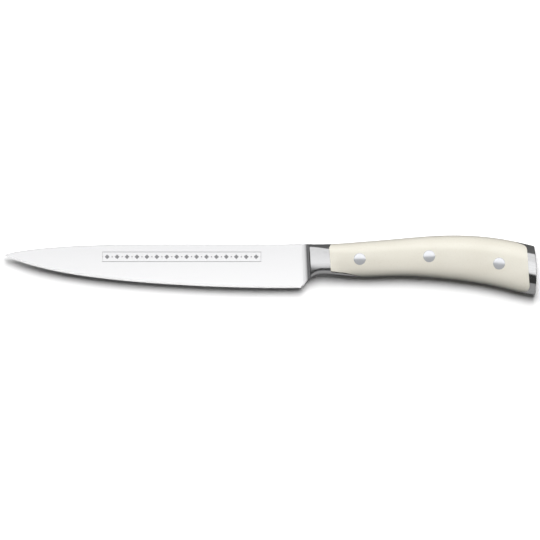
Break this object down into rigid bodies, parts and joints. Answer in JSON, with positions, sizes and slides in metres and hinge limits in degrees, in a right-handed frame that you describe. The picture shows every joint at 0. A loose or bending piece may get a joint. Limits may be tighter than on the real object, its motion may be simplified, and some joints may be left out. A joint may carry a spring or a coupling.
{
  "type": "carving knife",
  "caption": "Forged carving knife: slim pointed blade with filleted bolster, full tang and steel butt cap, with riveted cream handle scales.",
  "frame": {"origin": "middle of the knife's outline as it lies on its side, on the surface that it lies on", "axes": "+X from the point towards the butt, +Y from the cutting edge towards the spine, +Z out of the left side of the blade"},
  "size_m": [0.2824, 0.0316, 0.0173],
  "materials": {
    "blade_steel": "satin ground blade, polished bolster and butt cap",
    "handle_scales": "cream acetal, softly polished",
    "rivets": "polished"
  },
  "bodies": {
    "root": {"forged_blade_and_tang": "blade_steel", "scale_left": "handle_scales", "scale_right": "handle_scales", "rivet_front_male": "rivets", "rivet_middle_male": "rivets", "rivet_rear_male": "rivets", "rivet_front_female": "rivets", "rivet_middle_female": "rivets", "rivet_rear_female": "rivets"}
  },
  "joints": []
}
